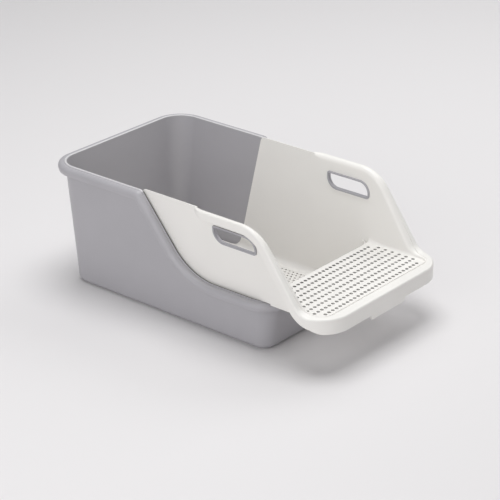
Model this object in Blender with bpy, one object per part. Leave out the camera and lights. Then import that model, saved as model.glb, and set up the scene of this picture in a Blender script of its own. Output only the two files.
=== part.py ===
"""Open-top litter box: a grey tray, a white entry shield that lifts out of it, and two handle rings.

Metres, +Z up.  The entry step faces -Y, the back of the tray +Y, and X runs across.
The origin is on the floor, under the middle of the whole box.
"""
import math

import bmesh
import bpy
from mathutils import Vector

OBJECT_NAME = "litter_box"

# The whole box
OVERALL_LENGTH = 0.634          # front of the step's skirt to the outside of the back rim
STEP_REACH = 0.13018            # front of the skirt to the tray's front wall at full rim height
WALL_LEAN = 0.08                # every side wall leans out by this much of its height

# Grey tray
OPENING_WIDTH = 0.325           # inside the walls, at the height of the back rim
RIM_HEIGHT = 0.235
FRONT_RIM_HEIGHT = 0.0975
TRAY_WALL = 0.003
TRAY_FLOOR = 0.003
OPENING_CORNER = 0.042          # plan radius inside the walls at rim height
FLOOR_FILLET = 0.003
BASE_EDGE = 0.0015
RIM_REACH = 0.0165              # inside of the wall to the outside of the rolled rim
RIM_DROP = 0.0165
RIM_SKIN = 0.0025
RIM_INNER_EDGE = 0.002
RIM_ROLL = 0.0085               # radius of the rim's rounded outer top edge
RIM_TUCK = 0.001                # the rim's lower edge turns in by this much
DIP_ANGLE = math.radians(54)    # slope of the dip from the sides down to the low front
DIP_SETBACK = 0.0203            # flange's end to where the slope would meet the low rim
DIP_FOOT_RADIUS = 0.105
DIP_SHOULDER_RADIUS = 0.018

# White entry shield
SHIELD_HEIGHT = 0.2365
SHIELD_WALL = 0.0025
SHIELD_CLEARANCE = 0.0005       # to the inside of the tray's walls
SEAT_GAP = 0.0003               # where the shield rests on the low rim
PANEL_OVERLAP = 0.0025          # the panels' top reaches this far behind the tray's shoulder
PANEL_BACK_SLANT = 0.161        # the panels reach further back by this much of the drop
PANEL_BACK_CORNER = 0.008
PANEL_FOOT_RADIUS = 0.022       # bend from the panels' back edge into the floor's low rim
PANEL_HEM_DROP = 0.005          # lower edge of the panels under the step, in front of the tray
PANEL_LAP = 0.002               # how far a panel and the flange run past each other's ends
SIEVE_CLEARANCE = 0.0001        # to the top of the tray's floor fillet
SIEVE_THICKNESS = 0.0025
SIEVE_RIM = 0.002               # the floor's rim stands up by this much

# Rolled flange along the top of the shield and round the step
FLANGE_LENGTH = 0.1392          # its level top, to where the slope would meet it
FLANGE_TOP_WIDTH = 0.01288      # over its top, from the panel's inner face
FLANGE_DROP = 0.016
FLANGE_SKIN = 0.0025
FLANGE_LEG = 0.010              # inner leg that holds the panel's top edge
FLANGE_INNER_EDGE = 0.004
FLANGE_OUTER_EDGE = 0.006
FLANGE_TAPER = 0.020            # its width and depth grow over this length from its start
FLANGE_START_WIDTH = 0.006
FLANGE_START_DROP = 0.0065
FLANGE_LEVEL = 0.00169          # straight part between the step's corner and the slope's foot
FLANGE_CREST_RADIUS = 0.072
FLANGE_FOOT_RADIUS = 0.030
RIM_CLEARANCE = 0.002           # inside of the skirt to the tray's low rim
STEP_CORNER = 0.060             # plan radius of the step's front corners
STEP_INNER_CORNER = 0.0155      # the same inside the raised border
SKIRT_SIDE_DROP = 0.0205        # depth of the skirt where the sides meet the front corners
SKIRT_DROP = 0.028
SKIRT_FULL_SHARE = 0.4          # share of the way round a corner where it is full depth
TAB_DEPTH = 0.0077
TAB_WIDTH = 0.096

# Perforated step
STEP_CLEARANCE = 0.0025         # its underside to the tray's low rim
STEP_THICKNESS = 0.003
BORDER_RISE = 0.0045
BORDER_WIDTH = 0.0236
STEP_FILLET = 0.0055
STEP_END_FILLET = 0.010         # the same at its rear end
STEP_END_RUN = 0.026            # length over which the fillet grows to that
STEP_BACK_CORNER = 0.008        # plan radius where its rear edge meets the walls
BORDER_FILLET = 0.0035
HOLE_DIAMETER = 0.0052
HOLE_PITCH = 0.010
HOLE_ROW_PITCH = 0.015
HOLE_MARGIN = 0.01228           # back edge of the step to the first row
HOLE_SIDES = 6

# Handle openings and their soft rings
HANDLE_LENGTH = 0.095
HANDLE_HEIGHT = 0.031
HANDLE_SETBACK = 0.0562         # their middle, behind where the slope would meet the level top
HANDLE_DROP = 0.0397            # their middle, under the shield's top
HANDLE_BIG_CORNER = 0.0235
HANDLE_LOW_CORNER = 0.006       # at the front end of the lower edge
HANDLE_SMALL_CORNER = 0.004
RING_LIP = 0.002                # how far a lip covers the panel round the opening
RING_LIP_THICKNESS = 0.0025
RING_NECK = 0.001
RING_GAP = 0.0003
RING_LIP_EDGE = 0.0007

# Modelling
EMBED = 0.0002                  # how far one solid is sunk in another before they are joined
OVERRUN = 0.010                 # how far a cutter reaches past what it cuts
CORNER_STEPS = 8
DIP_STEPS = 8
EDGE_STEPS = 3
CREST_STEPS = 9
TAPER_STEPS = 4

# Heights worked out from the sizes above
SIEVE_UNDERSIDE = TRAY_FLOOR + FLOOR_FILLET + SIEVE_CLEARANCE
SIEVE_TOP = SIEVE_UNDERSIDE + SIEVE_THICKNESS
STEP_UNDERSIDE = FRONT_RIM_HEIGHT + STEP_CLEARANCE
STEP_HEIGHT = STEP_UNDERSIDE + STEP_THICKNESS
BORDER_HEIGHT = STEP_HEIGHT + BORDER_RISE
PANEL_FRONT_HEM = STEP_UNDERSIDE - PANEL_HEM_DROP
HANDLE_CENTRE_HEIGHT = SHIELD_HEIGHT - HANDLE_DROP

# Places along the box, from the front of the step to the back of the tray
SLOPE = math.tan(DIP_ANGLE)
FRONT_FACE = -OVERALL_LENGTH / 2
STEP_FRONT = FRONT_FACE + BORDER_WIDTH
SIDE_END = STEP_FRONT + STEP_INNER_CORNER
PANEL_FRONT = SIDE_END + PANEL_LAP
FLANGE_FOOT_TANGENT = FLANGE_FOOT_RADIUS * math.tan(DIP_ANGLE / 2)
FLANGE_FOOT = SIDE_END + FLANGE_LEVEL + FLANGE_FOOT_TANGENT
FLANGE_CREST = FLANGE_FOOT + (SHIELD_HEIGHT - BORDER_HEIGHT) / SLOPE
FLANGE_START = FLANGE_CREST + FLANGE_LENGTH
HANDLE_CENTRE = FLANGE_CREST + HANDLE_SETBACK
DIP_FOOT = FLANGE_START + DIP_SETBACK
DIP_SHOULDER = DIP_FOOT + (RIM_HEIGHT - FRONT_RIM_HEIGHT) / SLOPE
PANEL_BACK = DIP_SHOULDER + PANEL_OVERLAP
OPENING_FRONT = FRONT_FACE + STEP_REACH
OPENING_BACK = OVERALL_LENGTH / 2 - RIM_REACH + WALL_LEAN * RIM_ROLL
RISER_FRONT = OPENING_FRONT + WALL_LEAN * RIM_HEIGHT    # where the front wall meets the floor

# Widths, from the middle of the box
SHIELD_INSET = SHIELD_CLEARANCE + SHIELD_WALL
OPENING_HALF = OPENING_WIDTH / 2
RISER_CORNER = OPENING_CORNER - WALL_LEAN * RIM_HEIGHT
SHIELD_TOP_HALF = OPENING_HALF + WALL_LEAN * (SHIELD_HEIGHT - RIM_HEIGHT) - SHIELD_INSET
LOW_RIM_HALF = OPENING_HALF - WALL_LEAN * (RIM_HEIGHT - FRONT_RIM_HEIGHT) + RIM_REACH
FLANGE_OVER_RIM = LOW_RIM_HALF + RIM_CLEARANCE + FLANGE_SKIN
FLANGE_HALF = max(SHIELD_TOP_HALF + FLANGE_TOP_WIDTH, FLANGE_OVER_RIM)
STEP_HALF = OPENING_HALF - WALL_LEAN * (RIM_HEIGHT - STEP_HEIGHT) - SHIELD_INSET

# The step's hole pattern
STEP_BACK = RISER_FRONT + SHIELD_INSET
HOLE_FIRST_ROW = STEP_BACK - HOLE_MARGIN
HOLE_FIELD_LENGTH = HOLE_FIRST_ROW - STEP_FRONT - BORDER_FILLET - HOLE_DIAMETER / 2
HOLE_FIELD_HALF = STEP_HALF - STEP_FILLET - HOLE_DIAMETER / 2
HOLE_ROWS = 1 + int(HOLE_FIELD_LENGTH / HOLE_ROW_PITCH)
HOLES_PER_SIDE = int(HOLE_FIELD_HALF / HOLE_PITCH)      # one fewer in the end rows

TRAY_GREY = (0.365, 0.355, 0.385, 1.0)
SHIELD_WHITE = (0.790, 0.770, 0.735, 1.0)
RING_GREY = (0.300, 0.300, 0.325, 1.0)


def clear_scene():
    for item in list(bpy.data.objects):
        bpy.data.objects.remove(item, do_unlink=True)


def new_collection(name):
    collection = bpy.data.collections.new(name)
    bpy.context.scene.collection.children.link(collection)
    return collection


def plastic(name, colour, roughness):
    material = bpy.data.materials.new(name)
    material.use_nodes = True
    shader = material.node_tree.nodes["Principled BSDF"]
    shader.inputs["Base Color"].default_value = colour
    shader.inputs["Roughness"].default_value = roughness
    shader.inputs["Metallic"].default_value = 0.0
    return material


def add_object(name, bm, collection, material=None):
    """Put a finished bmesh into the scene as one closed object with its faces pointing out."""
    bmesh.ops.recalc_face_normals(bm, faces=bm.faces)
    mesh = bpy.data.meshes.new(name)
    bm.to_mesh(mesh)
    bm.free()
    item = bpy.data.objects.new(name, mesh)
    collection.objects.link(item)
    if material:
        mesh.materials.append(material)
    return item


def as_guide(item):
    """Mark an object that only cuts or joins another one."""
    item.hide_render = True
    item.display_type = "WIRE"
    return item


def combine(item, other, operation):
    modifier = item.modifiers.new(operation.lower() + "_" + other.name, "BOOLEAN")
    modifier.operation = operation
    modifier.solver = "EXACT"
    modifier.object = other


def stack(rings, closed=False):
    """Join rings of equally many points, one after the other.  Open ends are capped."""
    bm = bmesh.new()
    loops = [[bm.verts.new(point) for point in ring] for ring in rings]
    pairs = list(zip(loops, loops[1:]))
    if closed:
        pairs.append((loops[-1], loops[0]))
    for lower, upper in pairs:
        for i in range(len(lower)):
            j = (i + 1) % len(lower)
            bm.faces.new((lower[i], lower[j], upper[j], upper[i]))
    if not closed:
        bm.faces.new(loops[0])
        bm.faces.new(loops[-1])
    return bm


def cut_off(bm, point, normal):
    """Remove what lies past a plane and close the cut."""
    geometry = bm.verts[:] + bm.edges[:] + bm.faces[:]
    bmesh.ops.bisect_plane(bm, geom=geometry, plane_co=point, plane_no=normal, clear_outer=True)
    open_edges = [edge for edge in bm.edges if edge.is_boundary]
    bmesh.ops.holes_fill(bm, edges=open_edges)


def arc(radius, start, end, steps):
    """Points of an arc round zero, from one angle to the other."""
    angles = [start + (end - start) * i / steps for i in range(steps + 1)]
    return [(radius * math.cos(angle), radius * math.sin(angle)) for angle in angles]


def rounded_path(corners, radii, steps):
    """Side view path through corners, rounded: a list of (y, z, normal), from front to back."""
    result = []
    last = len(corners) - 1
    for index, corner in enumerate(corners):
        here = Vector(corner)
        before = (here - Vector(corners[index - 1])).normalized() if index else None
        after = (Vector(corners[index + 1]) - here).normalized() if index < last else None
        if before is None or after is None:
            way = after or before
            result.append((here.x, here.y, Vector((-way.y, way.x))))
            continue
        turn = math.atan2(before.x * after.y - before.y * after.x, before.dot(after))
        side = math.copysign(1.0, turn)
        radius = radii[index - 1]
        start = here - before * radius * math.tan(abs(turn) / 2)
        centre = start + Vector((-before.y, before.x)) * radius * side
        heading = math.atan2(before.y, before.x)
        for step in range(steps + 1):
            angle = heading + turn * step / steps
            normal = Vector((-math.sin(angle), math.cos(angle)))
            point = centre - normal * radius * side
            result.append((point.x, point.y, normal))
    return result


# Grey tray

def wall_half_width(height):
    """Half the width between the insides of the tray's side walls at a height."""
    return OPENING_HALF - WALL_LEAN * (RIM_HEIGHT - height)


def wall_front(height):
    """Inside of the tray's front wall at a height."""
    return OPENING_FRONT + WALL_LEAN * (RIM_HEIGHT - height)


def wall_back(height):
    """Inside of the tray's back wall at a height."""
    return OPENING_BACK - WALL_LEAN * (RIM_HEIGHT - height)


def dip_path():
    """The rim's height along a side wall, from the front corner to the back corner."""
    corners = [
        (OPENING_FRONT + OPENING_CORNER, FRONT_RIM_HEIGHT),
        (DIP_FOOT, FRONT_RIM_HEIGHT),
        (DIP_SHOULDER, RIM_HEIGHT),
        (OPENING_BACK - OPENING_CORNER, RIM_HEIGHT),
    ]
    return rounded_path(corners, (DIP_FOOT_RADIUS, DIP_SHOULDER_RADIUS), DIP_STEPS)


def tray_stations():
    """Round the rim: (point inside the wall at rim height, outward, rim height, rim normal)."""
    side = dip_path()
    stations = []
    upright = Vector((0.0, 1.0))

    def corner(x_sign, y_centre, start, height):
        centre = Vector((x_sign * (OPENING_HALF - OPENING_CORNER), y_centre, 0.0))
        for x, y in arc(1.0, start, start + math.pi / 2, CORNER_STEPS)[1:-1]:
            outward = Vector((x, y, 0.0))
            stations.append((centre + outward * OPENING_CORNER, outward, height, upright))

    for y, z, normal in side:
        stations.append((Vector((OPENING_HALF, y, 0.0)), Vector((1.0, 0.0, 0.0)), z, normal))
    corner(1, OPENING_BACK - OPENING_CORNER, 0.0, RIM_HEIGHT)
    for x_sign in (1, -1):
        point = Vector((x_sign * (OPENING_HALF - OPENING_CORNER), OPENING_BACK, 0.0))
        stations.append((point, Vector((0.0, 1.0, 0.0)), RIM_HEIGHT, upright))
    corner(-1, OPENING_BACK - OPENING_CORNER, math.pi / 2, RIM_HEIGHT)
    for y, z, normal in reversed(side):
        stations.append((Vector((-OPENING_HALF, y, 0.0)), Vector((-1.0, 0.0, 0.0)), z, normal))
    corner(-1, OPENING_FRONT + OPENING_CORNER, math.pi, FRONT_RIM_HEIGHT)
    for x_sign in (-1, 1):
        point = Vector((x_sign * (OPENING_HALF - OPENING_CORNER), OPENING_FRONT, 0.0))
        stations.append((point, Vector((0.0, -1.0, 0.0)), FRONT_RIM_HEIGHT, upright))
    corner(1, OPENING_FRONT + OPENING_CORNER, 3 * math.pi / 2, FRONT_RIM_HEIGHT)
    return stations


def wall_point(station, out, height):
    """A point this far outside the wall's inner face, straight below the rim."""
    point, outward, _, _ = station
    place = point + outward * (out - WALL_LEAN * (RIM_HEIGHT - height))
    return Vector((place.x, place.y, height))


def rim_point(station, out, up):
    """A point of the rim's section, square to the rim's own path."""
    point, outward, rim_height, normal = station
    height = rim_height + up * normal.y
    place = point + outward * (out - WALL_LEAN * (RIM_HEIGHT - height))
    return Vector((place.x, place.y + up * normal.x, height))


def rim_section():
    """The rolled rim's section, from the inside of the wall round to its outer face."""
    inner = [
        (RIM_INNER_EDGE + x, y - RIM_INNER_EDGE)
        for x, y in arc(RIM_INNER_EDGE, math.pi, math.pi / 2, EDGE_STEPS)
    ]
    centre = RIM_REACH - RIM_ROLL
    roll = [(centre + x, y - RIM_ROLL) for x, y in arc(RIM_ROLL, math.pi / 2, 0.0, EDGE_STEPS + 1)]
    hem = [(RIM_REACH - RIM_TUCK, -RIM_DROP), (RIM_REACH - RIM_TUCK - RIM_SKIN, -RIM_DROP)]
    inside = [
        (centre + x, y - RIM_ROLL)
        for x, y in arc(RIM_ROLL - RIM_SKIN, 0.0, math.pi / 2, EDGE_STEPS)
    ]
    return inner + roll + hem + inside + [(TRAY_WALL, -RIM_SKIN)]


def build_tray(collection, material):
    stations = tray_stations()
    rings = []
    for x, y in arc(FLOOR_FILLET, -math.pi / 2, 0.0, EDGE_STEPS):
        height = TRAY_FLOOR + FLOOR_FILLET + y
        rings.append([wall_point(station, x - FLOOR_FILLET, height) for station in stations])
    for out, up in rim_section():
        rings.append([rim_point(station, out, up) for station in stations])
    rings.append([wall_point(station, TRAY_WALL, BASE_EDGE) for station in stations])
    rings.append([wall_point(station, TRAY_WALL - BASE_EDGE, 0.0) for station in stations])
    return add_object("litter_tray", stack(rings), collection, material)


# White entry shield

def flange_path():
    """The flange's top along a side, from the step's front corner up and back to its start."""
    corners = [
        (SIDE_END, BORDER_HEIGHT),
        (FLANGE_FOOT, BORDER_HEIGHT),
        (FLANGE_CREST, SHIELD_HEIGHT),
        (FLANGE_START, SHIELD_HEIGHT),
    ]
    return rounded_path(corners, (FLANGE_FOOT_RADIUS, FLANGE_CREST_RADIUS), CREST_STEPS)


def panel_outline():
    """Side view of one panel, in y and z."""
    notch_front = OPENING_FRONT - RIM_REACH + WALL_LEAN * (RIM_HEIGHT - FRONT_RIM_HEIGHT)
    notch_front += OPENING_CORNER / 4
    notch_back = RISER_FRONT + OPENING_CORNER
    seat = FRONT_RIM_HEIGHT + SEAT_GAP
    sunk = FLANGE_LEG / 2
    top = [(y - normal.x * sunk, z - normal.y * sunk) for y, z, normal in flange_path()]
    top[0] = (PANEL_FRONT, top[0][1])
    top[-1] = (FLANGE_START - PANEL_LAP, SHIELD_HEIGHT - sunk)
    crown = SHIELD_HEIGHT - EMBED
    rounded = arc(PANEL_BACK_CORNER, math.pi / 2, math.atan(PANEL_BACK_SLANT), EDGE_STEPS)
    corner = [
        (PANEL_BACK - PANEL_BACK_CORNER + y, crown - PANEL_BACK_CORNER + z)
        for y, z in rounded
    ]
    foot = panel_foot()
    return top + [(FLANGE_START - PANEL_LAP, crown)] + corner + foot + [
        (foot[-1][0], SIEVE_UNDERSIDE),
        (notch_back, SIEVE_UNDERSIDE),
        (notch_back, seat),
        (notch_front, seat),
        (notch_front, PANEL_FRONT_HEM),
        (PANEL_FRONT, PANEL_FRONT_HEM),
    ]


def panel_foot():
    """The bend from a panel's slanted back edge into the top of the floor's rim."""
    level = SIEVE_TOP + SIEVE_RIM - EMBED + PANEL_FOOT_RADIUS
    edge = PANEL_BACK + PANEL_BACK_SLANT * (SHIELD_HEIGHT - level)
    centre = edge + PANEL_FOOT_RADIUS * math.hypot(1.0, PANEL_BACK_SLANT)
    start = math.pi + math.atan(PANEL_BACK_SLANT)
    bend = arc(PANEL_FOOT_RADIUS, start, 3 * math.pi / 2, CORNER_STEPS)
    return [(centre + y, level + z) for y, z in bend]


def build_panel(x_sign, collection):
    """One flat side panel, leaning with the tray's wall and clear of it."""
    rings = []
    for inset in (SHIELD_CLEARANCE, SHIELD_INSET):
        rings.append([
            Vector((x_sign * (wall_half_width(z) - inset), y, z)) for y, z in panel_outline()
        ])
    side = "right" if x_sign > 0 else "left"
    return as_guide(add_object(side + "_panel", stack(rings), collection))


def sleeve_ring(inset, height):
    """A closed ring inside the tray's walls at a height.  Its front stands upright."""
    half = wall_half_width(height) - inset
    front_radius = RISER_CORNER - inset
    back_radius = front_radius + WALL_LEAN * height
    front = RISER_FRONT + RISER_CORNER
    back = wall_back(height) - inset - back_radius
    quarters = (
        (1, back, back_radius, 0.0),
        (-1, back, back_radius, math.pi / 2),
        (-1, front, front_radius, math.pi),
        (1, front, front_radius, 3 * math.pi / 2),
    )
    ring = []
    for x_sign, y, radius, start in quarters:
        x = x_sign * (half - radius)
        for dx, dy in arc(radius, start, start + math.pi / 2, CORNER_STEPS):
            ring.append(Vector((x + dx, y + dy, height)))
    return ring


def build_riser(collection):
    """The wall that goes down inside the tray's front wall, with its two rounded corners."""
    top = STEP_HEIGHT - EMBED
    outer = SHIELD_CLEARANCE + EMBED
    inner = SHIELD_INSET - EMBED
    rings = [
        sleeve_ring(outer, SIEVE_UNDERSIDE),
        sleeve_ring(outer, top),
        sleeve_ring(inner, top),
        sleeve_ring(inner, SIEVE_UNDERSIDE),
    ]
    bm = stack(rings, closed=True)
    keep_to = RISER_FRONT + OPENING_CORNER + SHIELD_WALL
    cut_off(bm, (0.0, keep_to, 0.0), (0.0, 1.0, 0.0))
    return as_guide(add_object("riser", bm, collection))


def build_corner_ledge(collection):
    """Closes the corners between the riser and the panels, just above the tray's low rim."""
    low = FRONT_RIM_HEIGHT + SEAT_GAP + EMBED
    high = STEP_UNDERSIDE + EMBED
    side = wall_half_width(low) - SHIELD_CLEARANCE - 2 * EMBED
    front = RISER_FRONT + SHIELD_CLEARANCE + 2 * EMBED
    back = RISER_FRONT + RISER_CORNER
    outline = ((side, front), (side, back), (-side, back), (-side, front))
    rings = [[Vector((x, y, height)) for x, y in outline] for height in (low, high)]
    ledge = as_guide(add_object("corner_ledge", stack(rings), collection))
    middle = SHIELD_CLEARANCE + SHIELD_WALL / 2
    core = stack([sleeve_ring(middle, low - OVERRUN), sleeve_ring(middle, high + OVERRUN)])
    combine(ledge, as_guide(add_object("riser_core", core, collection)), "DIFFERENCE")
    return ledge


def build_sieve_floor(collection):
    """The shield's floor with its low rim, close above the tray's floor."""
    outer = SHIELD_CLEARANCE + 2 * EMBED
    inner = SHIELD_INSET - 2 * EMBED
    rings = [
        sleeve_ring(outer, SIEVE_UNDERSIDE + EMBED),
        sleeve_ring(outer, SIEVE_TOP + SIEVE_RIM),
        sleeve_ring(inner, SIEVE_TOP + SIEVE_RIM),
        sleeve_ring(inner, SIEVE_TOP),
    ]
    return as_guide(add_object("sieve_floor", stack(rings), collection))


def flange_section(width, drop, share=1.0):
    """Section of the rolled flange: across from the panel's inner face, and up from its top.

    Its rounded edges are drawn at a share of their full size.
    """
    inner_edge = FLANGE_INNER_EDGE * share
    outer_edge = FLANGE_OUTER_EDGE * share
    inner = [
        (inner_edge - EMBED + x, z - inner_edge)
        for x, z in arc(inner_edge, math.pi, math.pi / 2, EDGE_STEPS)
    ]
    outer = [
        (width - outer_edge + x, z - outer_edge)
        for x, z in arc(outer_edge, math.pi / 2, 0.0, EDGE_STEPS)
    ]
    return [(-EMBED, -FLANGE_LEG)] + inner + outer + [
        (width, -drop),
        (width - FLANGE_SKIN, -drop),
        (width - FLANGE_SKIN, -outer_edge),
        (width - outer_edge, -FLANGE_SKIN),
        (FLANGE_SKIN + EMBED, -FLANGE_SKIN),
        (FLANGE_SKIN + EMBED, -FLANGE_LEG),
    ]


def flange_half_width(y):
    """From the middle to the flange's outer face at a place along the side."""
    past = FRONT_FACE + STEP_CORNER - y
    if past <= 0:
        return FLANGE_HALF
    return FLANGE_HALF - STEP_CORNER + math.sqrt(STEP_CORNER ** 2 - past ** 2)


def flange_side_ring(x_sign, y, z, normal):
    """The flange's section at one place along a side."""
    inner = wall_half_width(z) - SHIELD_INSET
    full = flange_half_width(y) - inner
    growth = start_share(y)
    width = FLANGE_START_WIDTH + (full - FLANGE_START_WIDTH) * growth
    drop = FLANGE_START_DROP + (FLANGE_DROP - FLANGE_START_DROP) * growth
    drop += (SKIRT_SIDE_DROP - FLANGE_DROP) * (1 - foot_share(y)) ** 2
    ring = []
    for across, up in flange_section(width, drop, width / full):
        rise = up * normal.y
        lean = WALL_LEAN * rise * (1 - across / width)
        ring.append(Vector((x_sign * (inner + across + lean), y + up * normal.x, z + rise)))
    return ring


def start_share(y):
    """0 at the flange's start, 1 from where it has its full width and depth."""
    share = min((FLANGE_START - y) / FLANGE_TAPER, 1.0)
    return math.sin(share * math.pi / 2)


def foot_share(y):
    """0 where the flange has come down to the step's level, 1 from where its slope begins."""
    reach = FLANGE_FOOT_TANGENT * (1 + math.cos(DIP_ANGLE))
    return min(max((y - FLANGE_FOOT + FLANGE_FOOT_TANGENT) / reach, 0.0), 1.0)


def flange_corner_ring(share):
    """The flange's section at a share of the way round the step's right front corner."""
    start = math.asin((FRONT_FACE + STEP_CORNER - SIDE_END) / STEP_CORNER)
    outer_angle = -(start + (math.pi / 2 - start) * share)
    inner_angle = -math.pi / 2 * share
    outer = Vector((FLANGE_HALF - STEP_CORNER, FRONT_FACE + STEP_CORNER, BORDER_HEIGHT))
    outer += STEP_CORNER * Vector((math.cos(outer_angle), math.sin(outer_angle), 0.0))
    side = wall_half_width(BORDER_HEIGHT) - SHIELD_INSET
    inner = Vector((side - STEP_INNER_CORNER, SIDE_END, BORDER_HEIGHT))
    inner += STEP_INNER_CORNER * Vector((math.cos(inner_angle), math.sin(inner_angle), 0.0))
    way = (outer - inner).normalized()
    deepening = math.sin(min(share / SKIRT_FULL_SHARE, 1.0) * math.pi / 2)
    drop = SKIRT_SIDE_DROP + (SKIRT_DROP - SKIRT_SIDE_DROP) * deepening
    section = flange_section((outer - inner).length, drop)
    return [inner + way * across + Vector((0.0, 0.0, up)) for across, up in section]


def flange_rings():
    """All sections of the flange, from the right side round the front to the left side."""
    path = flange_path()
    y, z, normal = path.pop()
    for number in range(TAPER_STEPS):
        path.append((y - FLANGE_TAPER * (1 - number / TAPER_STEPS), z, normal))
    path.append((y, z, normal))
    rings = [flange_side_ring(1, y, z, normal) for y, z, normal in reversed(path)]
    rings += [flange_corner_ring((number + 1) / CORNER_STEPS) for number in range(CORNER_STEPS)]
    for ring in reversed(rings[:]):
        rings.append([Vector((-point.x, point.y, point.z)) for point in ring])
    return rings


def build_flange(collection):
    return add_object("flange", stack(flange_rings()), collection)


def build_tab(collection):
    """The deeper middle of the step's skirt."""
    bm = bmesh.new()
    bmesh.ops.create_cube(bm, size=1.0)
    skin = FLANGE_SKIN - 2 * EMBED
    height = TAB_DEPTH + FLANGE_SKIN
    size = Vector((TAB_WIDTH, skin, height))
    low = BORDER_HEIGHT - SKIRT_DROP - TAB_DEPTH
    place = Vector((0.0, FRONT_FACE + EMBED + skin / 2, low + height / 2))
    for vert in bm.verts:
        vert.co = Vector(a * b for a, b in zip(vert.co, size)) + place
    return as_guide(add_object("tab", bm, collection))


def step_ring(turn, rise_share):
    """Outline of the step inside its walls, at a turn of its fillet and a share of its height.

    With no turn the outline lies in the middle of the walls.
    """
    def inset(fillet):
        return -SHIELD_WALL / 2 if turn is None else fillet * (1 - math.sin(turn)) - EMBED

    radius = STEP_INNER_CORNER - PANEL_LAP
    corner_x = STEP_HALF - radius
    corner_y = STEP_FRONT + radius
    slope_foot = FLANGE_FOOT + FLANGE_FOOT_TANGENT * math.cos(DIP_ANGLE)
    stations = (
        (STEP_BACK + STEP_BACK_CORNER + OVERRUN, STEP_END_FILLET),
        (STEP_BACK, STEP_END_FILLET),
        (STEP_BACK - STEP_END_RUN, STEP_FILLET),
        (slope_foot, STEP_FILLET),
        (corner_y, BORDER_FILLET),
    )
    ring = []
    for y, fillet in stations:
        rise = fillet * rise_share
        ring.append((STEP_HALF - inset(fillet) + WALL_LEAN * rise, y, rise))
    for dx, dy in arc(radius - inset(BORDER_FILLET), 0.0, -math.pi / 2, CORNER_STEPS // 2)[1:]:
        ring.append((corner_x + dx, corner_y + dy, BORDER_FILLET * rise_share))
    mirrored = [(-x, y, z) for x, y, z in reversed(ring)]
    return ring + mirrored


def build_step(collection):
    """The step's perforated plate, with a rounded corner up to the walls beside it."""
    def ring(turn, share, base):
        return [Vector((x, y, base + z)) for x, y, z in step_ring(turn, share)]

    rings = [ring(None, 0.0, STEP_UNDERSIDE), ring(None, 1.0, STEP_HEIGHT)]
    for number in range(EDGE_STEPS + 1):
        angle = math.pi / 2 * (1 - number / EDGE_STEPS)
        rings.append(ring(angle, 1 - math.cos(angle), STEP_HEIGHT))
    bm = stack(rings)
    step = as_guide(add_object("step", bm, collection))
    combine(step, build_step_well(collection), "DIFFERENCE")
    combine(step, build_step_holes(collection), "DIFFERENCE")
    return step


def build_step_well(collection):
    """Cuts the step's rear edge, straight with a rounded corner at each wall."""
    wide = STEP_HALF + SHIELD_WALL
    centre = Vector((STEP_HALF - STEP_BACK_CORNER, STEP_BACK + STEP_BACK_CORNER))
    outline = [(wide, centre.y + 2 * OVERRUN), (wide, centre.y)]
    for dx, dy in arc(STEP_BACK_CORNER, 0.0, -math.pi / 2, EDGE_STEPS):
        outline.append((centre.x + dx, centre.y + dy))
    outline += [(-x, y) for x, y in reversed(outline)]
    heights = (STEP_UNDERSIDE - OVERRUN, STEP_HEIGHT + STEP_END_FILLET + OVERRUN)
    rings = [[Vector((x, y, height)) for x, y in outline] for height in heights]
    return as_guide(add_object("step_well", stack(rings), collection))


def build_step_holes(collection):
    """All the step's holes as one cutter."""
    bm = bmesh.new()
    depth = STEP_THICKNESS + 2 * OVERRUN
    for row in range(HOLE_ROWS):
        end_row = row in (0, HOLE_ROWS - 1)
        reach = HOLES_PER_SIDE - 1 if end_row else HOLES_PER_SIDE
        y = HOLE_FIRST_ROW - row * HOLE_ROW_PITCH
        for column in range(-reach, reach + 1):
            made = bmesh.ops.create_cone(
                bm, cap_ends=True, segments=HOLE_SIDES,
                radius1=HOLE_DIAMETER / 2, radius2=HOLE_DIAMETER / 2, depth=depth)
            place = Vector((column * HOLE_PITCH, y, STEP_HEIGHT))
            bmesh.ops.translate(bm, verts=made["verts"], vec=place)
    return as_guide(add_object("step_holes", bm, collection))


def handle_outline(grow):
    """The handle opening's outline in y and z, grown by an amount all round."""
    half_length = HANDLE_LENGTH / 2
    half_height = HANDLE_HEIGHT / 2
    corners = (
        (1, 1, HANDLE_SMALL_CORNER, 0.0),
        (-1, 1, HANDLE_BIG_CORNER, math.pi / 2),
        (-1, -1, HANDLE_LOW_CORNER, math.pi),
        (1, -1, HANDLE_BIG_CORNER, 3 * math.pi / 2),
    )
    points = []
    for y_sign, z_sign, radius, start in corners:
        bend = max(radius + grow, RING_LIP_EDGE)
        centre_y = HANDLE_CENTRE + y_sign * (half_length + grow - bend)
        centre_z = HANDLE_CENTRE_HEIGHT + z_sign * (half_height + grow - bend)
        steps = CORNER_STEPS if radius == HANDLE_BIG_CORNER else EDGE_STEPS
        for dy, dz in arc(bend, start, start + math.pi / 2, steps):
            points.append((centre_y + dy, centre_z + dz))
    return points


def build_handle_cutter(collection):
    """One bar that cuts both handle openings."""
    reach = FLANGE_HALF + OVERRUN
    rings = [[Vector((x, y, z)) for y, z in handle_outline(-RING_LIP)] for x in (-reach, reach)]
    return as_guide(add_object("handle_cutter", stack(rings), collection))


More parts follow.
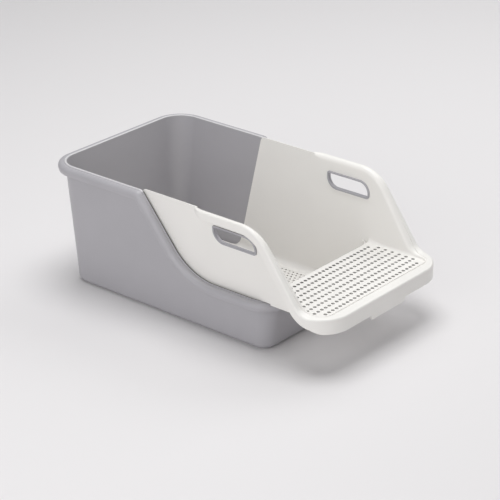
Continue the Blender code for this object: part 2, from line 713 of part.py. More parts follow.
def build_handle_ring(x_sign, collection, material):
    """The soft ring that lines one handle opening and laps over both faces of the panel."""
    opening = -RING_LIP
    neck = opening - RING_GAP
    bore = neck - RING_NECK
    outer_face = RING_GAP + RING_LIP_THICKNESS
    inner_face = -SHIELD_WALL - RING_GAP - RING_LIP_THICKNESS
    edge = RING_LIP_EDGE
    section = [
        (bore, inner_face + edge),
        (bore, outer_face - edge),
        (bore + edge, outer_face),
        (-edge, outer_face),
        (0.0, outer_face - edge),
        (0.0, RING_GAP),
        (neck, RING_GAP),
        (neck, -SHIELD_WALL - RING_GAP),
        (0.0, -SHIELD_WALL - RING_GAP),
        (0.0, inner_face + edge),
        (-edge, inner_face),
        (bore + edge, inner_face),
    ]
    rings = []
    for grow, depth in section:
        rings.append([
            Vector((x_sign * (wall_half_width(z) - SHIELD_CLEARANCE + depth), y, z))
            for y, z in handle_outline(grow)
        ])
    side = "right" if x_sign > 0 else "left"
    return add_object(side + "_handle_ring", stack(rings, closed=True), collection, material)


def build_shield(parts, cutters, material):
    shield = build_flange(parts)
    shield.name = "entry_shield"
    shield.data.materials.append(material)
    handle_cutter = build_handle_cutter(cutters)
    for x_sign in (1, -1):
        panel = build_panel(x_sign, cutters)
        combine(panel, handle_cutter, "DIFFERENCE")
        combine(shield, panel, "UNION")
    for piece in (build_riser, build_corner_ledge, build_sieve_floor, build_tab, build_step):
        combine(shield, piece(cutters), "UNION")
    return shield


def main():
    clear_scene()
    parts = new_collection(OBJECT_NAME)
    cutters = new_collection("cutters")
    build_tray(parts, plastic("tray_grey", TRAY_GREY, 0.45))
    build_shield(parts, cutters, plastic("shield_white", SHIELD_WHITE, 0.40))
    ring_grey = plastic("ring_grey", RING_GREY, 0.60)
    for x_sign in (1, -1):
        build_handle_ring(x_sign, parts, ring_grey)


main()
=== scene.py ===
import math

import bmesh
import bpy
from mathutils import Matrix, Vector


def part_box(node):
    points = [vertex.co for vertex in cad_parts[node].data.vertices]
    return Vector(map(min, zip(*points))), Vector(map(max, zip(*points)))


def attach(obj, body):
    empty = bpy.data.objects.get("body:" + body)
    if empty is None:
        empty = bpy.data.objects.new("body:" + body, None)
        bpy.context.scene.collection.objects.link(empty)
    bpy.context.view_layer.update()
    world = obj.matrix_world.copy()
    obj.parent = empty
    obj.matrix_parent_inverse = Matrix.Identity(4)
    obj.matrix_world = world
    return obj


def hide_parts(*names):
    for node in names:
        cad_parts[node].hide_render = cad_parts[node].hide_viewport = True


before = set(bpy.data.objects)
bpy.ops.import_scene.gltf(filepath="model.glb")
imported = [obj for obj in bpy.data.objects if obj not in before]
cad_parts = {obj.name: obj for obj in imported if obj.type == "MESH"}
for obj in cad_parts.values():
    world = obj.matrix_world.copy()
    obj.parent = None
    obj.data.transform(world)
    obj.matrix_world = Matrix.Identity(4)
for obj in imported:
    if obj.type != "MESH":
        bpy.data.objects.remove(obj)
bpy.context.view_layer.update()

# Sizes in metres.  The outer ones are read from the frame, the others come from the photograph.
_, tray_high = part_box("litter_tray")
shield_low, shield_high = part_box("entry_shield")
BACK_FACE = tray_high.y
FRONT_FACE = shield_low.y
RIM_HEIGHT = tray_high.z
SHIELD_HEIGHT = shield_high.z
FLANGE_HALF = shield_high.x
SIEVE_UNDERSIDE = shield_low.z
WALL_LEAN = 0.08

# Grey tray
TRAY_WALL = 0.003
TRAY_FLOOR = 0.003
RIM_REACH = 0.0165
RIM_DROP = 0.0165
RIM_SKIN = 0.0025
RIM_ROLL = 0.0085
RIM_BEAD = 0.0042
RIM_BEAD_EDGE = 0.0013
RIM_GROOVE = 0.0013
RIM_STEP = 0.0009
RIM_TUCK = 0.001
RIM_ROLL_START = 0.6 * math.pi
RIM_ROLL_END = -math.pi / 12
OPENING_HALF = tray_high.x - RIM_REACH + WALL_LEAN * RIM_ROLL
OPENING_BACK = BACK_FACE - RIM_REACH + WALL_LEAN * RIM_ROLL
OPENING_LENGTH = 0.488
OPENING_FRONT = OPENING_BACK - OPENING_LENGTH
OPENING_CORNER = 0.042
FRONT_RIM_HEIGHT = 0.0975
FLOOR_FILLET = 0.003
BASE_EDGE = 0.006
BASE_STEP = 0.0032
BASE_INSET = 0.0045
DIP_ANGLE = math.radians(54)
DIP_FOOT = -0.0077
DIP_FOOT_RADIUS = 0.105
DIP_SHOULDER_RADIUS = 0.012

# White entry shield
SHIELD_WALL = 0.0017
SHIELD_CLEARANCE = 0.0013
SHIELD_INSET = SHIELD_CLEARANCE + SHIELD_WALL
SEAT_GAP = 0.0003
PANEL_BACK = 0.0947
PANEL_BACK_SLANT = 0.161
PANEL_BACK_CORNER = 0.008
PANEL_FOOT_RADIUS = 0.022
PANEL_FRONT_HEM = 0.095
SIEVE_THICKNESS = 0.0025
SIEVE_RIM = 0.002
SIEVE_FILLET = 0.012
SIEVE_EDGE = 0.0006
SIEVE_HOLE_DIAMETER = 0.0045
SIEVE_HOLE_PITCH = 0.0088
SIEVE_COLUMN_PITCH = 0.0089
SIEVE_MARGIN = 0.0165
SIEVE_HOLE_SIDES = 8
FLANGE_START = -0.028
FLANGE_TAPER = 0.020
FLANGE_START_WIDTH = 0.0062
FLANGE_START_DROP = 0.0065
FLANGE_DROP = 0.016
FLANGE_SKIN = 0.0025
FLANGE_LEG = 0.014
FLANGE_INNER_EDGE = 0.0085
FLANGE_OUTER_EDGE = 0.004
FLANGE_CREST = -0.1672
FLANGE_CREST_RADIUS = 0.072
FLANGE_FOOT_RADIUS = 0.030
STEP_CORNER = 0.060
STEP_INNER_CORNER = 0.0155
SKIRT_SIDE_DROP = 0.0205
SKIRT_DROP = 0.028
SKIRT_FULL_SHARE = 0.4
TAB_DEPTH = 0.0077
TAB_WIDTH = 0.096

# Perforated step
STEP_HEIGHT = 0.103
STEP_THICKNESS = 0.003
BORDER_RISE = 0.0045
BORDER_WIDTH = 0.0236
BORDER_EDGE = 0.002
GROOVE_SHARES = ((0.08, 0.0), (0.10, 0.07), (0.16, 0.07), (0.18, 0.0))
STEP_FILLET = 0.0055
STEP_END_FILLET = 0.010
STEP_END_RUN = 0.026
STEP_BACK_CORNER = 0.0015
BORDER_FILLET = 0.0012
HOLE_DIAMETER = 0.0066
HOLE_PITCH = 0.010
HOLE_ROW_PITCH = 0.015
HOLE_ROWS = 8
HOLE_FIRST_ROW = -0.1773
HOLES_PER_SIDE = 14
HOLE_SIDES = 16

# Handle openings and their rings
HANDLE_LENGTH = 0.095
HANDLE_HEIGHT = 0.031
HANDLE_CENTRE = -0.111
HANDLE_CENTRE_HEIGHT = 0.1968
HANDLE_BIG_CORNER = 0.0235
HANDLE_LOW_CORNER = 0.006
HANDLE_SMALL_CORNER = 0.004
RING_LIP = 0.002
RING_LIP_THICKNESS = 0.0025
RING_NECK = 0.001
RING_GAP = 0.0003
RING_LIP_EDGE = 0.0007

# Modelling.  The laps keep faces that are joined or cut from lying in one plane.
EMBED = 0.00005
LAP = 4 * EMBED
DEEP_LAP = 8 * EMBED
OVERRUN = 0.010
PANEL_LAP = 0.002
CORNER_STEPS = 24
DIP_STEPS = 28
EDGE_STEPS = 8
CREST_STEPS = 26
SLEEVE_STEPS = 60
TAPER_STEPS = 12
DIP_FILL = 4
CREST_FILL = 3
MERGE_DISTANCE = 1e-6
FLAT_FACE_WEIGHT = 50
SHARP_ANGLE = math.radians(40)
SHIELD_SHARP_ANGLE = math.radians(32)
UPRIGHT_LIMIT = 0.1

BORDER_HEIGHT = STEP_HEIGHT + BORDER_RISE
FLANGE_FOOT = FLANGE_CREST - (SHIELD_HEIGHT - BORDER_HEIGHT) / math.tan(DIP_ANGLE)
SIDE_END = FRONT_FACE + BORDER_WIDTH + STEP_INNER_CORNER
RISER_FRONT = OPENING_FRONT + WALL_LEAN * RIM_HEIGHT
RISER_CORNER = OPENING_CORNER - WALL_LEAN * RIM_HEIGHT
SIEVE_TOP = SIEVE_UNDERSIDE + SIEVE_THICKNESS
STEP_BACK = RISER_FRONT + SHIELD_INSET

# Plastics.  A painted highlight lies along the top of the rim's bead, and painted shade lies in
# the seam under it and on the walls of the step's holes.
PAINTED_HIGHLIGHT_TONE = (0.66, 0.655, 0.665)
PAINTED_SHADE_TONE = (0.10, 0.098, 0.095)
HOLE_PAINTED_SHADE = 0.5
PATTERN_MIDDLE = (0.3, 0.7)
DRIFT_SCALE = 9.0
DRIFT_DETAIL = 3.0
GLOSS_SCALE = 45.0
GLOSS_DETAIL = 4.0
GLOSS_SWING = 0.04
COAT_ROUGHNESS = 0.22
GRAIN_DETAIL = 5.0
GRAIN_ROUGHNESS = 0.6
GRAIN_HEIGHT = 0.0002
TRAY_FINISH = {
    "colour": (0.442, 0.432, 0.457),
    "shade": 0.96,
    "roughness": 0.42,
    "sheen": 0.25,
    "grain": 0.25,
    "grain_scale": 900.0,
}
SHIELD_FINISH = {
    "colour": (0.902, 0.884, 0.852),
    "shade": 0.98,
    "roughness": 0.38,
    "sheen": 0.2,
    "grain": 0.15,
    "grain_scale": 1100.0,
}
RING_FINISH = {
    "colour": (0.420, 0.412, 0.440),
    "shade": 0.94,
    "roughness": 0.50,
    "sheen": 0.1,
    "grain": 0.35,
    "grain_scale": 1500.0,
}

# Studio: each light's name, width, power and place
FLOOR_SIZE = 30.0
FLOOR_TONE = (0.80, 0.785, 0.79, 1.0)
FLOOR_ROUGHNESS = 0.85
FLOOR_SHINE = 0.1
SKY_TONE = (0.98, 0.985, 1.0, 1.0)
SKY_STRENGTH = 0.262
LIGHT_TARGET = Vector((0.0, 0.0, 0.1))
LIGHTS = (
    ("overhead", 2.2, 57.5, (0.0, 0.0, 3.2)),
    ("back_right", 2.2, 11.8, (1.8, 1.2, 2.8)),
    ("right_side", 2.2, 19.8, (2.4, -0.3, 2.2)),
    ("left_side", 2.0, 15.0, (-2.8, 0.2, 1.15)),
    ("left_front", 2.0, 15.7, (-2.6, -1.2, 1.2)),
)

# Camera, from the photograph
CAMERA_AZIMUTH = math.radians(-50.26)
CAMERA_ELEVATION = math.radians(24.61)
CAMERA_ROLL = math.radians(0.10)
CAMERA_DISTANCE = 3.3492
CAMERA_TARGET = Vector((0.0, -0.01245, 0.09454))
CAMERA_LENS = 135.49
CAMERA_SENSOR = 36.0
CAMERA_REACH = 100.0


# Modelling by hand

def choose(piece):
    """Deselect everything, then select one piece and make it the active one."""
    bpy.ops.object.select_all(action="DESELECT")
    piece.select_set(True)
    bpy.context.view_layer.objects.active = piece


def place_selected(mesh, ring):
    """Put the selected vertices on a ring, each by its number on the ring."""
    bm = bmesh.from_edit_mesh(mesh)
    number = bm.verts.layers.int["number"]
    for vert in bm.verts:
        if vert.select:
            vert.co = ring[vert[number]]
    bmesh.update_edit_mesh(mesh)


def pull(name, rings, closed=False):
    """Extrude a circle of vertices through the rings, then close both ends or join them."""
    bpy.ops.object.select_all(action="DESELECT")
    bpy.ops.mesh.primitive_circle_add(vertices=len(rings[0]), fill_type="NOTHING")
    piece = bpy.context.object
    piece.name = name
    numbers = piece.data.attributes.new("number", "INT", "POINT")
    numbers.data.foreach_set("value", list(range(len(rings[0]))))
    bpy.ops.object.mode_set(mode="EDIT")
    bpy.ops.mesh.select_all(action="SELECT")
    place_selected(piece.data, rings[0])
    for ring in rings[1:] + (rings[:1] if closed else []):
        bpy.ops.mesh.extrude_region_move()
        place_selected(piece.data, ring)
    bpy.ops.mesh.select_all(action="SELECT")
    if closed:
        bpy.ops.mesh.remove_doubles(threshold=MERGE_DISTANCE)
    else:
        bpy.ops.mesh.fill_holes(sides=0)
    bpy.ops.mesh.normals_make_consistent(inside=False)
    bpy.ops.object.mode_set(mode="OBJECT")
    piece.data.attributes.remove(piece.data.attributes["number"])
    return piece


def slice_off(piece, point, normal):
    """Cut a piece on a plane, drop what lies past it and close the cut."""
    choose(piece)
    bpy.ops.object.mode_set(mode="EDIT")
    bpy.ops.mesh.select_all(action="SELECT")
    bpy.ops.mesh.bisect(plane_co=point, plane_no=normal, use_fill=True, clear_outer=True)
    bpy.ops.object.mode_set(mode="OBJECT")
    return piece


def combine(piece, other, operation, solver="EXACT"):
    """Join another solid to a piece or cut it away, and remove the other solid."""
    choose(piece)
    modifier = piece.modifiers.new("combine", "BOOLEAN")
    modifier.operation = operation
    modifier.solver = solver
    modifier.object = other
    bpy.ops.object.modifier_apply(modifier=modifier.name)
    bpy.data.objects.remove(other, do_unlink=True)
    return piece


def smooth(piece, angle=SHARP_ANGLE):
    """Shade a piece smooth up to an angle, with its large flat faces kept flat."""
    choose(piece)
    bpy.ops.object.shade_smooth_by_angle(angle=angle)
    modifier = piece.modifiers.new("flat_faces", "WEIGHTED_NORMAL")
    modifier.keep_sharp = True
    modifier.weight = FLAT_FACE_WEIGHT
    bpy.ops.object.modifier_apply(modifier=modifier.name)


def box(name, left, right, front, back, low=-OVERRUN, high=2 * OVERRUN):
    """A plain block."""
    outline = ((left, front), (right, front), (right, back), (left, back))
    return pull(name, [[Vector((x, y, z)) for x, y in outline] for z in (low, high)])


def repeat(piece, count, way, merge=False):
    """Copy a piece a number of times along a line, within its own mesh."""
    modifier = piece.modifiers.new("copies", "ARRAY")
    modifier.count = count
    modifier.use_relative_offset = False
    modifier.use_constant_offset = True
    modifier.constant_offset_displace = way
    modifier.use_merge_vertices = merge
    modifier.merge_threshold = MERGE_DISTANCE
    bpy.ops.object.modifier_apply(modifier=modifier.name)


def join(pieces):
    """Join several pieces into the first one."""
    choose(pieces[0])
    for piece in pieces[1:]:
        piece.select_set(True)
    bpy.ops.object.join()
    return pieces[0]


def hole_grid(first, steps, diameter, sides):
    """A block of upright bars in straight rows, copied from its first bar."""
    columns, pitch, rows, row_pitch = steps
    bpy.ops.object.select_all(action="DESELECT")
    bpy.ops.mesh.primitive_cylinder_add(
        vertices=sides, radius=diameter / 2, depth=2 * OVERRUN, location=first)
    bars = bpy.context.object
    repeat(bars, columns, (pitch, 0.0, 0.0))
    repeat(bars, rows, (0.0, row_pitch, 0.0))
    return bars


def arc(radius, start, end, steps, centre=(0.0, 0.0)):
    """Points of an arc round a centre, from one angle to the other."""
    across, up = centre
    angles = [start + (end - start) * number / steps for number in range(steps + 1)]
    return [
        (across + radius * math.cos(angle), up + radius * math.sin(angle)) for angle in angles
    ]


def hem(out, drop, skin):
    """The foot of a rolled edge's outer leg, with both of its corners taken off."""
    cut = skin / 4
    return [
        (out, cut - drop),
        (out - cut, -drop),
        (out - skin + cut, -drop),
        (out - skin, cut - drop),
    ]


def rounded_path(corners, radii, steps, fill=1):
    """Side view path through corners, rounded: a list of (y, z, normal), from front to back.

    Each straight stretch is divided into as many parts as fill says.
    """
    result = []
    last = len(corners) - 1
    for index, corner in enumerate(corners):
        here = Vector(corner)
        before = (here - Vector(corners[index - 1])).normalized() if index else None
        after = (Vector(corners[index + 1]) - here).normalized() if index < last else None
        if before is None or after is None:
            way = after or before
            bend = [(here.x, here.y, Vector((-way.y, way.x)))]
        else:
            turn = math.atan2(before.x * after.y - before.y * after.x, before.dot(after))
            side = math.copysign(1.0, turn)
            radius = radii[index - 1]
            start = here - before * radius * math.tan(abs(turn) / 2)
            centre = start + Vector((-before.y, before.x)) * radius * side
            heading = math.atan2(before.y, before.x)
            bend = []
            for step in range(steps + 1):
                angle = heading + turn * step / steps
                normal = Vector((-math.sin(angle), math.cos(angle)))
                point = centre - normal * radius * side
                bend.append((point.x, point.y, normal))
        if result:
            y, z, normal = result[-1]
            for part in range(1, fill):
                share = part / fill
                between = (y + (bend[0][0] - y) * share, z + (bend[0][1] - z) * share, normal)
                result.append(between)
        result += bend
    return result


# Grey tray

def wall_half_width(height):
    """Half the width between the insides of the tray's side walls at a height."""
    return OPENING_HALF - WALL_LEAN * (RIM_HEIGHT - height)


def tray_stations():
    """Places round the rim: (point on the wall's inside, outward, rim height, rim normal)."""
    shoulder = DIP_FOOT + (RIM_HEIGHT - FRONT_RIM_HEIGHT) / math.tan(DIP_ANGLE)
    corners = [
        (OPENING_FRONT + OPENING_CORNER, FRONT_RIM_HEIGHT),
        (DIP_FOOT, FRONT_RIM_HEIGHT),
        (shoulder, RIM_HEIGHT),
        (OPENING_BACK - OPENING_CORNER, RIM_HEIGHT),
    ]
    side = rounded_path(corners, (DIP_FOOT_RADIUS, DIP_SHOULDER_RADIUS), DIP_STEPS, DIP_FILL)
    upright = Vector((0.0, 1.0))
    stations = []

    def corner(x_sign, y_centre, start, height):
        centre = Vector((x_sign * (OPENING_HALF - OPENING_CORNER), y_centre, 0.0))
        for x, y in arc(1.0, start, start + math.pi / 2, CORNER_STEPS)[1:-1]:
            outward = Vector((x, y, 0.0))
            stations.append((centre + outward * OPENING_CORNER, outward, height, upright))

    def end(y, x_signs, height):
        for x_sign in x_signs:
            point = Vector((x_sign * (OPENING_HALF - OPENING_CORNER), y, 0.0))
            outward = Vector((0.0, math.copysign(1.0, y), 0.0))
            stations.append((point, outward, height, upright))

    for y, z, normal in side:
        stations.append((Vector((OPENING_HALF, y, 0.0)), Vector((1.0, 0.0, 0.0)), z, normal))
    corner(1, OPENING_BACK - OPENING_CORNER, 0.0, RIM_HEIGHT)
    end(OPENING_BACK, (1, 0, -1), RIM_HEIGHT)
    corner(-1, OPENING_BACK - OPENING_CORNER, math.pi / 2, RIM_HEIGHT)
    for y, z, normal in reversed(side):
        stations.append((Vector((-OPENING_HALF, y, 0.0)), Vector((-1.0, 0.0, 0.0)), z, normal))
    corner(-1, OPENING_FRONT + OPENING_CORNER, math.pi, FRONT_RIM_HEIGHT)
    end(OPENING_FRONT, (-1, 0, 1), FRONT_RIM_HEIGHT)
    corner(1, OPENING_FRONT + OPENING_CORNER, 3 * math.pi / 2, FRONT_RIM_HEIGHT)
    return stations


def wall_point(station, out, height):
    """A point this far outside the wall's inner face, straight below the rim."""
    point, outward, _, _ = station
    place = point + outward * (out - WALL_LEAN * (RIM_HEIGHT - height))
    return Vector((place.x, place.y, height))


def rim_point(station, out, up):
    """A point of the rim's section, square to the rim's own path."""
    point, outward, rim_height, normal = station
    height = rim_height + up * normal.y
    place = point + outward * (out - WALL_LEAN * (RIM_HEIGHT - height))
    return Vector((place.x, place.y + up * normal.x, height))


def rim_section():
    """The rolled rim's section, from the inside of the wall round to its outer face."""
    edge = RIM_BEAD_EDGE
    section = arc(edge, math.pi, math.pi / 2, EDGE_STEPS // 2, (edge, -edge))
    section += arc(edge, math.pi / 2, 0.0, EDGE_STEPS // 2, (RIM_BEAD - edge, -edge))
    section += [(RIM_BEAD + edge / 4, -RIM_GROOVE), (RIM_BEAD + edge, -RIM_GROOVE)]
    centre = (RIM_REACH - RIM_ROLL - EMBED, -RIM_ROLL - RIM_STEP)
    section += arc(RIM_ROLL, RIM_ROLL_START, RIM_ROLL_END, 2 * EDGE_STEPS, centre)
    section += hem(RIM_REACH - RIM_TUCK, RIM_DROP, RIM_SKIN)
    section += arc(RIM_ROLL - RIM_SKIN, 0.0, math.pi / 2, EDGE_STEPS, centre)
    return section + [(TRAY_WALL, -RIM_GROOVE - RIM_SKIN)]


def mark_rings(piece, name, count, rings, height_rule):
    """Mark some rings of a pulled piece for its material, by their numbers and height."""
    marks = [
        float(vert.index // count in rings and height_rule(vert.co.z))
        for vert in piece.data.vertices
    ]
    piece.data.attributes.new(name, "FLOAT", "POINT").data.foreach_set("value", marks)


def build_tray():
    """The whole tray: up its inside, round the rolled rim and down to the recessed foot."""
    stations = tray_stations()
    rings = []
    for x, y in arc(FLOOR_FILLET, -math.pi / 2, 0.0, EDGE_STEPS):
        height = TRAY_FLOOR + FLOOR_FILLET + y
        rings.append([wall_point(station, x - FLOOR_FILLET, height) for station in stations])
    for out, up in rim_section():
        rings.append([rim_point(station, out, up) for station in stations])
    for x, y in arc(BASE_EDGE, 0.0, -math.pi / 2, EDGE_STEPS // 2):
        height = BASE_STEP + BASE_EDGE + y
        out = TRAY_WALL - BASE_EDGE + x
        rings.append([wall_point(station, out, height) for station in stations])
    for height in (BASE_STEP, 0.0):
        rings.append([wall_point(station, -BASE_INSET, height) for station in stations])
    tray = pull("tray_shell", rings)
    first = EDGE_STEPS + 1
    bead = range(first + 1, first + EDGE_STEPS + 1)
    inner = range(first, first + EDGE_STEPS // 2 + 1)
    level = RIM_HEIGHT - 2 * RIM_BEAD_EDGE
    # Painted highlight along the top of the rim's bead.
    mark_rings(tray, "painted_highlight", len(stations), bead, lambda height: height > level)
    # Painted shade on the bead's inner side, down into the seam.
    mark_rings(tray, "painted_shade", len(stations), inner, lambda height: height < level)
    smooth(tray)
    return tray


# White entry shield

def flange_path():
    """The flange's top along a side, from the step's front corner up and back to its start."""
    corners = [
        (SIDE_END, BORDER_HEIGHT),
        (FLANGE_FOOT, BORDER_HEIGHT),
        (FLANGE_CREST, SHIELD_HEIGHT),
        (FLANGE_START, SHIELD_HEIGHT),
    ]
    radii = (FLANGE_FOOT_RADIUS, FLANGE_CREST_RADIUS)
    return rounded_path(corners, radii, CREST_STEPS, CREST_FILL)


def foot_share(y):
    """0 where the flange has come down to the step's level, 1 from where its slope begins."""
    length = FLANGE_FOOT_RADIUS * math.tan(DIP_ANGLE / 2)
    reach = length * (1 + math.cos(DIP_ANGLE))
    return min(max((y - FLANGE_FOOT + length) / reach, 0.0), 1.0)


def panel_outline():
    """Side view of one panel, in y and z."""
    notch_front = OPENING_FRONT - RIM_REACH + WALL_LEAN * (RIM_HEIGHT - FRONT_RIM_HEIGHT)
    notch_front += OPENING_CORNER / 4
    notch_back = RISER_FRONT + OPENING_CORNER
    seat = FRONT_RIM_HEIGHT + SEAT_GAP
    sunk = (FLANGE_LEG + FLANGE_INNER_EDGE) / 2
    top = [(y - normal.x * sunk, z - normal.y * sunk) for y, z, normal in flange_path()]
    top[0] = (SIDE_END + PANEL_LAP, top[0][1])
    top = [point for point in top if point[0] >= SIDE_END + PANEL_LAP]
    top[-1] = (FLANGE_START - PANEL_LAP, SHIELD_HEIGHT - sunk)
    crown = SHIELD_HEIGHT - 2 * EMBED
    centre = (PANEL_BACK - PANEL_BACK_CORNER, crown - PANEL_BACK_CORNER)
    slant = math.atan(PANEL_BACK_SLANT)
    corner = arc(PANEL_BACK_CORNER, math.pi / 2, slant, EDGE_STEPS, centre)
    foot = panel_foot()
    return top + [(FLANGE_START - PANEL_LAP, crown)] + corner + foot + [
        (foot[-1][0], SIEVE_UNDERSIDE),
        (notch_back, SIEVE_UNDERSIDE),
        (notch_back, seat),
        (notch_front, seat),
        (notch_front, PANEL_FRONT_HEM),
        (SIDE_END + PANEL_LAP, PANEL_FRONT_HEM),
    ]


def foot_centre():
    """Middle of the bend from a panel's slanted back edge into the top of the floor's rim."""
    level = SIEVE_TOP + SIEVE_RIM - EMBED + PANEL_FOOT_RADIUS
    edge = PANEL_BACK + PANEL_BACK_SLANT * (SHIELD_HEIGHT - level)
    return edge + PANEL_FOOT_RADIUS * math.hypot(1.0, PANEL_BACK_SLANT), level


def panel_foot():
    """That bend, from the slanted edge down to the rim."""
    start = math.pi + math.atan(PANEL_BACK_SLANT)
    end = 3 * math.pi / 2
    return arc(PANEL_FOOT_RADIUS, start, end, CORNER_STEPS // 2, foot_centre())


def build_panel(x_sign):
    """One flat side panel, leaning with the tray's wall and clear of it."""
    rings = []
    for inset in (SHIELD_CLEARANCE, SHIELD_INSET):
        rings.append([
            Vector((x_sign * (wall_half_width(z) - inset), y, z)) for y, z in panel_outline()
        ])
    return pull("panel", rings)


def sleeve_ring(shape):
    """A closed ring inside the tray's walls, its front upright.

    From each point's place along y, the shape gives how far inside the walls it is and how high.
    """
    centre_x = OPENING_HALF - OPENING_CORNER
    front = RISER_FRONT + RISER_CORNER
    back = OPENING_BACK - OPENING_CORNER
    gap = back - front
    middle = [front + gap * number / SLEEVE_STEPS for number in range(1, SLEEVE_STEPS)]
    quarter = [math.pi / 2 * number / CORNER_STEPS for number in range(CORNER_STEPS + 1)]
    stations = [(1, back, angle) for angle in quarter]
    stations += [(-1, back, math.pi / 2 + angle) for angle in quarter]
    stations += [(-1, y, math.pi) for y in reversed(middle)]
    stations += [(-1, front, math.pi + angle) for angle in quarter]
    stations += [(1, front, 3 * math.pi / 2 + angle) for angle in quarter]
    stations += [(1, y, 2 * math.pi) for y in middle]
    ring = []
    for x_sign, y, angle in stations:
        inset, height = shape(y)
        radius = RISER_CORNER - inset
        if y == front:
            x = x_sign * (centre_x + WALL_LEAN * height)
        else:
            x = x_sign * centre_x
            radius += WALL_LEAN * height
        dx = radius * math.cos(angle)
        dy = radius * math.sin(angle) if y in (front, back) else 0.0
        ring.append(Vector((x + dx, y + dy, height)))
    return ring


def level_ring(inset, height):
    """A sleeve ring that is level and equally far inside the walls all round."""
    return sleeve_ring(lambda y: (inset, height))


def build_riser():
    """The wall that goes down inside the tray's front wall, with its two rounded corners."""
    top = STEP_HEIGHT - LAP
    outer = SHIELD_CLEARANCE + LAP
    inner = SHIELD_INSET - EMBED
    rings = [
        level_ring(outer, SIEVE_UNDERSIDE),
        level_ring(outer, top),
        level_ring(inner, top),
        level_ring(inner, SIEVE_UNDERSIDE),
    ]
    riser = pull("riser", rings, closed=True)
    keep_to = RISER_FRONT + OPENING_CORNER + SHIELD_WALL
    return slice_off(riser, (0.0, keep_to, 0.0), (0.0, 1.0, 0.0))


def build_corner_ledge():
    """Closes the corners between the riser and the panels, just above the tray's low rim."""
    low = FRONT_RIM_HEIGHT + SEAT_GAP + EMBED
    high = STEP_HEIGHT - STEP_THICKNESS + EMBED
    side = wall_half_width(low) - SHIELD_CLEARANCE - DEEP_LAP
    front = RISER_FRONT + SHIELD_CLEARANCE + DEEP_LAP
    back = RISER_FRONT + RISER_CORNER
    outline = ((side, front), (side, back), (-side, back), (-side, front))
    rings = [[Vector((x, y, height)) for x, y in outline] for height in (low, high)]
    middle = SHIELD_CLEARANCE + SHIELD_WALL / 2
    ends = (low - OVERRUN, high + OVERRUN)
    core = pull("core", [level_ring(middle, height) for height in ends])
    return combine(pull("corner_ledge", rings), core, "DIFFERENCE")


def sieve_fillet(y):
    """Radius up from the floor at a place along the box: large beside the panels only."""
    centre, _ = foot_centre()
    radius = PANEL_FOOT_RADIUS
    past = min(max(centre - y, 0.0), radius)
    climb = radius - math.sqrt(radius ** 2 - past ** 2)
    return min(SIEVE_RIM + climb, SIEVE_FILLET) - SIEVE_EDGE


def build_sieve_floor():
    """The shield's floor, rounded up into the panels and into its own low rim behind them."""
    outer = SHIELD_CLEARANCE + DEEP_LAP
    inner = SHIELD_INSET - EMBED
    edge = SIEVE_EDGE

    def at(inset, above):
        return sleeve_ring(lambda y: (inset, SIEVE_TOP + sieve_fillet(y) + above))

    def bend(x, z):
        def shape(y):
            radius = sieve_fillet(y)
            return inner + radius * (1 - x), SIEVE_TOP + radius * (1 - z)
        return sleeve_ring(shape)

    rings = [level_ring(outer, SIEVE_UNDERSIDE + LAP)]
    rings += [at(outer + edge - x, z) for x, z in arc(edge, 0.0, math.pi / 2, EDGE_STEPS // 2)]
    rings += [at(inner - edge + x, z) for z, x in arc(edge, 0.0, math.pi / 2, EDGE_STEPS // 2)]
    rings += [bend(x, z) for x, z in arc(1.0, 0.0, math.pi / 2, EDGE_STEPS)[1:]]
    floor = pull("sieve_floor", rings)
    sheet, (left, right, front, back) = build_sieve_sheet()
    opening = box("opening", left + LAP, right - LAP, front + LAP, back - LAP)
    combine(floor, opening, "DIFFERENCE")
    return combine(floor, sheet, "UNION")


def open_long_sides(strip, middle, half):
    """Delete a strip's two upright long sides, so that its copies join into one sheet."""
    bpy.ops.object.mode_set(mode="EDIT")
    bpy.ops.mesh.select_mode(type="FACE")
    bpy.ops.mesh.select_all(action="DESELECT")
    for face in bmesh.from_edit_mesh(strip.data).faces:
        face.select_set(abs(face.calc_center_median().x - middle) > half - EMBED)
    bmesh.update_edit_mesh(strip.data)
    bpy.ops.mesh.delete(type="ONLY_FACE")
    bpy.ops.mesh.select_mode(type="VERT")
    bpy.ops.object.mode_set(mode="OBJECT")


def build_sieve_sheet():
    """The perforated middle of the floor, and its left, right, front and back edges.

    One strip with two staggered columns of holes is made, then copied across.
    """
    pitch, column_pitch = SIEVE_HOLE_PITCH, SIEVE_COLUMN_PITCH
    room = wall_half_width(SIEVE_TOP) - SIEVE_MARGIN
    strips = int(room / column_pitch)
    left = -strips * column_pitch
    front = STEP_BACK + SIEVE_MARGIN
    length = OPENING_BACK - WALL_LEAN * RIM_HEIGHT - SIEVE_MARGIN - front
    rows = int(length / pitch)
    back = front + rows * pitch
    low, high = SIEVE_UNDERSIDE + LAP + EMBED, SIEVE_TOP - EMBED
    sheet = box("sieve_sheet", left, left + 2 * column_pitch, front, back, low, high)
    grids = []
    for column in (0, 1):
        place = left + (column + 0.5) * column_pitch
        first = (place, front + (column + 1) * pitch / 2, SIEVE_TOP)
        steps = (1, 0.0, rows - column, pitch)
        grids.append(hole_grid(first, steps, SIEVE_HOLE_DIAMETER, SIEVE_HOLE_SIDES))
    combine(sheet, join(grids), "DIFFERENCE")
    open_long_sides(sheet, left + column_pitch, column_pitch)
    repeat(sheet, strips, (2 * column_pitch, 0.0, 0.0), merge=True)
    bpy.ops.object.mode_set(mode="EDIT")
    bpy.ops.mesh.select_all(action="SELECT")
    bpy.ops.mesh.fill_holes(sides=0)
    bpy.ops.mesh.normals_make_consistent(inside=False)
    bpy.ops.object.mode_set(mode="OBJECT")
    return sheet, (left, -left, front, back)


